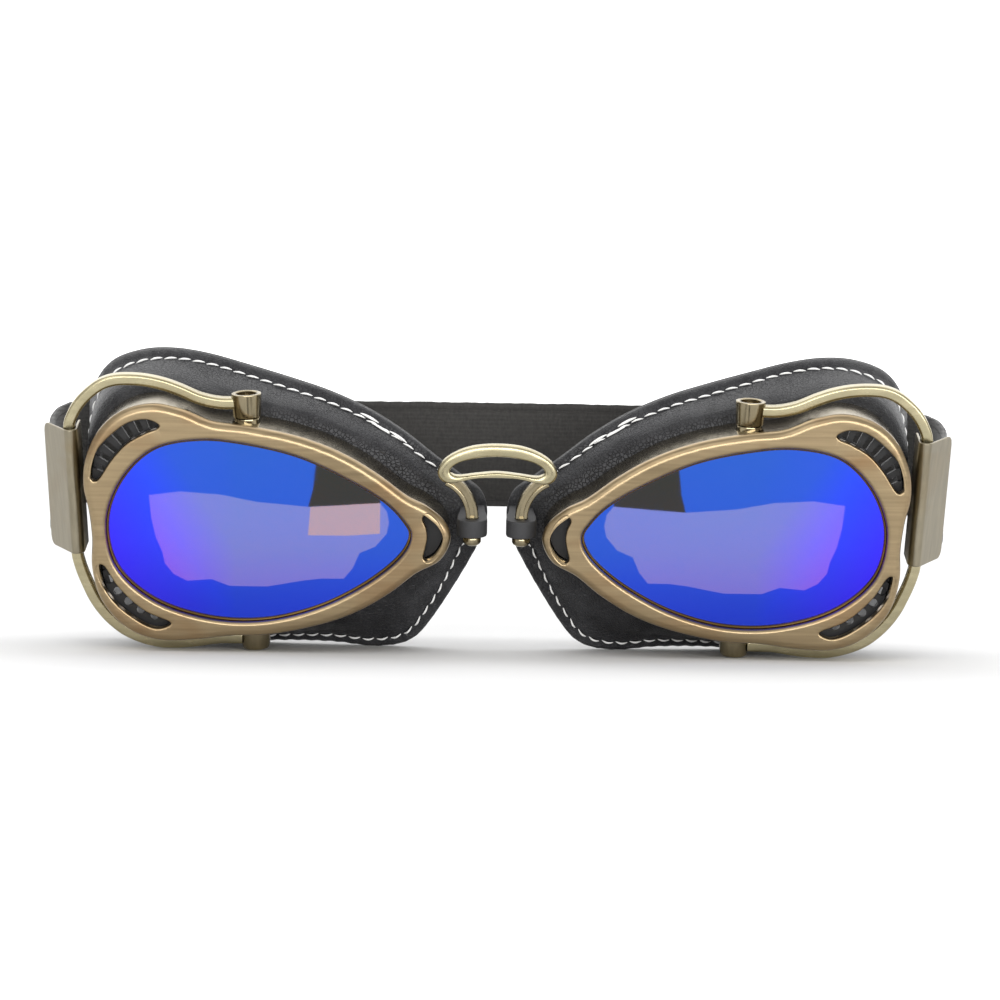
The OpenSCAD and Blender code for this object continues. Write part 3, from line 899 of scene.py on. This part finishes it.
def welted_section(width, thick, welt):
    """Section of the webbing: a groove inside each welted edge, on both faces."""
    half = width / 2
    end, start = half, half - welt
    profile = []
    for s in (-1, 1):
        edge = [(s * thick / 2, z) for z in (-end + 0.45, -end + 1.2)]
        groove = [(s * (thick / 2 - 0.28), -start), (s * (thick / 2 - 0.02), -start + 0.4)]
        flat = [(s * thick / 2, -start + 0.4 + (2 * start - 0.8) * k / 12) for k in range(1, 12)]
        mirrored = [(x, -z) for x, z in reversed(edge + groove)]
        face = edge + groove + flat + mirrored
        if s < 0:
            profile = [(-0.35, -end)] + face + [(-0.35, end)]
        else:
            profile += [(0.35, end)] + face[::-1] + [(0.35, -end)]
    return profile


def strap_piece(name, side, first, last):
    """One stretch of the webbing, between two shares of the half strap's length."""
    line = resampled(open_curve(STRAP, 10), 161)
    stretch = slice(round(first * 160), round(last * 160) + 1)
    part, normals = line[stretch], line_normals(line)[stretch]
    profile = welted_section(STRAP_W, 1.4, 1.6)
    shape = Shape()
    rows = []
    for i, (p, n) in enumerate(zip(part, normals)):
        u = (first + (last - first) * i / (len(part) - 1)) * 40
        wander = 0.22 * noise.noise(Vector((u * 0.35, 3.1, 0))) + 2.1 * smooth(5, 0, u)
        row = []
        for s, z in profile:
            ripple = 0.12 * noise.noise(Vector((u * 2.2, z * 0.1, 5)))
            row.append((p.x + n.x * s, p.y + n.y * s, STRAP_Z + z + wander + ripple))
        rows.append(row)
    shape.grid(rows, cap=True)
    return shape.build(name, side, [WEBBING], "elastic_webbing", 50)


def tab_shape():
    shape = Shape()
    x0, x1, y = -52.0, -72.0, 61.8
    section_points = rounded_rect(1.2, STRAP_W, 0.4, 3)
    rows = []
    for k in range(21):
        x = x0 + (x1 - x0) * k / 20
        rows.append([(x, y + s, STRAP_Z + z) for s, z in section_points])
    shape.grid(rows, cap=True)
    return shape


def tab_stitches():
    shape = Shape()
    for x in (-68.5, -70.3):
        for k in range(8):
            z = STRAP_Z - 10.5 + 3 * k
            frames = []
            for j in range(6):
                u = j / 5
                swell = max(math.sin(math.pi * u), 0.15) ** 0.5
                origin = Vector((x, 61.15 - 0.2 * math.sin(math.pi * u), z - 1 + 2 * u))
                frames.append((origin, Vector((swell, 0, 0)), Vector((0, swell, 0))))
            shape.sweep(frames, oval(0.28, 0.22))
    return shape


def softened(name, node, material, width):
    """A copy of a CAD node with its edges rounded off."""
    mesh = frame["nodes"][node].data.copy()
    mesh.name = name
    mesh.materials.clear()
    mesh.materials.append(material)
    bm = bmesh.new()
    bm.from_mesh(mesh)
    bmesh.ops.remove_doubles(bm, verts=bm.verts, dist=1e-6)
    bmesh.ops.dissolve_limit(bm, angle_limit=math.radians(1), verts=bm.verts, edges=bm.edges)
    bm.to_mesh(mesh)
    bm.free()
    obj = bpy.data.objects.new(name, mesh)
    bpy.context.scene.collection.objects.link(obj)
    bevel = obj.modifiers.new("bevel", "BEVEL")
    bevel.width = width * MM
    bevel.segments = 3
    bevel.angle_limit = math.radians(40)
    bevel.harden_normals = True
    return obj


# ---------- camera ----------


def set_camera():
    """Long lens, 13.5 degrees above the face frame's level and rolled by 0.9 degrees."""
    elevation, roll, distance = math.radians(13.5), math.radians(0.9), 1000.0
    target = Vector((0.667, 0.0, 8.07))
    back = Vector((0, -math.cos(elevation), math.sin(elevation)))
    level_right = Vector((1, 0, 0))
    level_up = Vector((0, math.sin(elevation), math.cos(elevation)))
    right = level_right * math.cos(roll) + level_up * math.sin(roll)
    up = level_up * math.cos(roll) - level_right * math.sin(roll)
    turn = Matrix((right, up, back)).transposed()
    data = bpy.data.cameras.new("camera")
    data.sensor_width = 36
    data.lens = 162
    data.clip_start, data.clip_end = 0.05, 50
    camera = bpy.data.objects.new("camera", data)
    bpy.context.scene.collection.objects.link(camera)
    lean = Matrix.Rotation(LEAN, 4, "X")
    camera.matrix_world = Matrix.Translation(STAND @ (target + back * distance)) @ lean @ turn.to_4x4()
    bpy.context.scene.camera = camera
    return camera


CAMERA = set_camera()

# ---------- pieces ----------

for side in SIDES:
    cup, arm = f"cup_{side}", f"arm_{side}"
    finish_piece(
        frame_shape().build(f"cast_frame_{side}", side, [FACE, WALL], "antique_brass_casting"),
        cup, f"eye_frame_{side}",
    )
    finish_piece(
        lens_shape().build(f"domed_lens_{side}", side, [LENS_BLUE, LENS_BODY], "mirrored_lens", 30),
        cup, f"lens_{side}",
    )
    finish_piece(
        gasket_shape().build(f"trim_ring_{side}", side, [AMBER], "amber_trim"),
        cup, f"lens_gasket_{side}",
    )
    skirt = skirt_shape().build(f"padded_skirt_{side}", side, [LEATHER], "black_leather", 60, weighted=False)
    finish_piece(skirt, cup, f"leather_skirt_{side}")
    pad = pad_shape().build(f"rim_pad_{side}", side, [FLEECE], "foam_pad", 60, weighted=False)
    finish_piece(pad, cup, f"face_pad_{side}")
    seam = stitch_shape().build(f"seam_thread_{side}", side, [THREAD], "black_leather", weighted=False)
    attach(seam, cup)
    bartack = bartack_shape().build(f"seam_bartack_{side}", side, [THREAD], "black_leather", weighted=False)
    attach(bartack, cup)
    finish_piece(
        keeper_shape().build(f"pin_loop_{side}", side, [KEEPER], "black_leather"),
        cup, f"bridge_keeper_{side}",
    )
    finish_piece(
        cap_shape().build(f"domed_nut_{side}", side, [BARREL], "antique_brass"),
        "nose_bridge", f"bridge_end_cap_{side}",
    )
    finish_piece(
        arm_shape().build(f"curved_arm_{side}", side, [ARM_BRASS, BARREL], "antique_brass_casting"),
        arm, f"outrigger_arm_{side}",
    )
    finish_piece(
        clip_shape().build(f"folded_clip_{side}", side, [CLIP], "antique_brass_casting", 50),
        arm, f"strap_clip_{side}",
    )
    frame["nodes"][f"vent_liner_{side}"].data.materials[0] = BLACK
    frame["nodes"][f"hinge_screws_{side}"].data.materials[0] = DARK_BRASS
    near = strap_piece(f"strap_near_{side}", side, 0.0, 0.26)
    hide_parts(f"strap_side_{side}")
    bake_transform(near)
    far = strap_piece(f"strap_far_{side}", side, 0.26, 1.0)
    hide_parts("strap_rear")
    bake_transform(far)

finish_piece(
    bridge_shape().build("slotted_bridge", "right", [ARM_BRASS, BARREL], "antique_brass"),
    "nose_bridge", "nose_bridge",
)
finish_piece(
    softened("three_bar_slider", "strap_slider", BLACK, 0.35),
    "strap_slider", "strap_slider",
)
finish_piece(
    tab_shape().build("sewn_strap_end", "right", [WEBBING], "elastic_webbing"),
    "strap_slider", "strap_tab",
)
end_thread = tab_stitches().build("strap_end_thread", "right", [THREAD], "elastic_webbing", weighted=False)
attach(end_thread, "strap_slider")

# ---------- stage ----------


def plain_mesh(name, verts, faces, material):
    mesh = bpy.data.meshes.new(name)
    mesh.from_pydata(verts, [], faces)
    mesh.materials.append(material)
    obj = bpy.data.objects.new(name, mesh)
    bpy.context.scene.collection.objects.link(obj)
    return obj


def glow(name, base, colour, strength):
    """Matte surface that also gives off light."""
    m = Mat(name, base, 0.9)
    m.shader.inputs["Specular IOR Level"].default_value = 0
    m.shader.inputs["Emission Color"].default_value = (*colour, 1)
    m.shader.inputs["Emission Strength"].default_value = strength
    return m.material


def studio():
    floor = Mat("pale_floor", (0.86, 0.86, 0.86), 0.8)
    floor.gloss(floor.noise(20, 2), 0.75, 0.85)
    floor.shader.inputs["Specular IOR Level"].default_value = 0.1
    half, back, top = 3.0, 1.8, 3.2
    ground = [(-half, -half, 0), (half, -half, 0), (half, back, 0), (-half, back, 0)]
    plain_mesh("floor", ground, [(0, 1, 2, 3)], floor.material)
    wall = [(-half, back, 0), (half, back, 0), (half, back, top), (-half, back, top)]
    plain_mesh("light_wall", wall, [(0, 1, 2, 3)], glow("lit_wall", (0.8, 0.8, 0.8), (1, 1, 1), 1.05))


def area_light(name, place, aim, size, power):
    data = bpy.data.lights.new(name, "AREA")
    data.shape = "RECTANGLE"
    data.size, data.size_y = size
    data.energy = power
    obj = bpy.data.objects.new(name, data)
    obj.location = place
    obj.rotation_euler = (Vector(aim) - Vector(place)).to_track_quat("-Z", "Y").to_euler()
    bpy.context.scene.collection.objects.link(obj)


def world():
    w = bpy.data.worlds.new("studio")
    w.use_nodes = True
    w.node_tree.nodes["Background"].inputs["Color"].default_value = (1, 1, 1, 1)
    w.node_tree.nodes["Background"].inputs["Strength"].default_value = 0.75
    bpy.context.scene.world = w


def reflected_spot(x, z, height):
    """Where a line of sight that meets the lens front at (x, z) lands after its reflection."""
    step = 0.05
    right_x = abs(x)
    y = lens_depth(right_x, z)
    slope_x = (lens_depth(right_x + step, z) - lens_depth(right_x - step, z)) / (2 * step)
    slope_z = (lens_depth(right_x, z + step) - lens_depth(right_x, z - step)) / (2 * step)
    if x < 0:
        slope_x = -slope_x
    turn = STAND.to_3x3()
    normal = (turn @ Vector((slope_x, -1, slope_z))).normalized()
    place = STAND @ Vector((x, y, z))
    sight = (place - CAMERA.matrix_world.translation).normalized()
    bounce = sight - 2 * sight.dot(normal) * normal
    return place + bounce * ((height - place.z) / bounce.z)


def reflection_card(name, corners, height, base, colour, strength):
    """A glowing card just above the floor, lit for the lenses only."""
    verts = [reflected_spot(x, z, height) for x, z in corners]
    card = plain_mesh(name, verts, [tuple(range(len(verts)))], glow(name, base, colour, strength))
    card.visible_camera = False
    card.visible_diffuse = False
    card.visible_shadow = False
    card.visible_transmission = False
    card.light_linking.receiver_collection = MIRRORS


# What each card covers of a lens: corners (x, z) in millimetres
BRIGHT_CARD = [
    (77.5, 7.5), (70.5, 8.5), (61.5, 8), (53.5, 6.5), (42, 5.5), (26, 6.5), (24.5, 4.5), (24, 2),
    (24.5, -0.5), (27, -3.5), (30.5, -5), (32, -8.5), (34, -11), (39, -11), (43, -11.5), (51, -13),
    (59.5, -13), (63.5, -11.5), (69, -12), (72, -10.5), (74, -8), (74.5, -5.5), (76, -2), (77, 2.5),
]
DARK_CARD = [(40, 18), (41, 9.5), (42, 5.5), (26, 6.5), (26, 9), (29.5, 13), (34, 16)]
WARM_CARD = [(41.5, 5.5), (26, 6.5), (26, -0.5), (33, -1), (42, -1)]

MIRRORS = bpy.data.collections.new("mirrors")
for side in SIDES:
    lens = bpy.data.objects[f"domed_lens_{side}"]
    lens.visible_diffuse = False
    MIRRORS.objects.link(lens)

studio()
world()


def mirrored(corners, side):
    return [(-x if side == "left" else x, z) for x, z in corners]


for side in SIDES:
    reflection_card(
        f"pale_card_{side}", mirrored(BRIGHT_CARD, side), 0.0005, (0.8, 0.8, 0.8), (1, 0.25, 0.02), 5
    )
    reflection_card(
        f"brown_card_{side}", mirrored(DARK_CARD, side), 0.001, (0, 0, 0), (1, 0.29, 0.05), 1.5
    )
reflection_card(
    "peach_card", mirrored(WARM_CARD, "left"), 0.0015, (0.4, 0.4, 0.4), (1, 0.2, 0.015), 13.5
)
area_light("key", (-0.5, -1.0, 0.9), (0, 0, 0.03), (0.9, 0.9), 3)
area_light("top", (0.1, 0.3, 0.9), (0, 0, 0.03), (1.4, 0.6), 2.6)
area_light("fill", (0.3, -1.2, 0.16), (0, 0, 0.03), (1.8, 0.3), 11)
bpy.context.scene.view_settings.view_transform = "Standard"
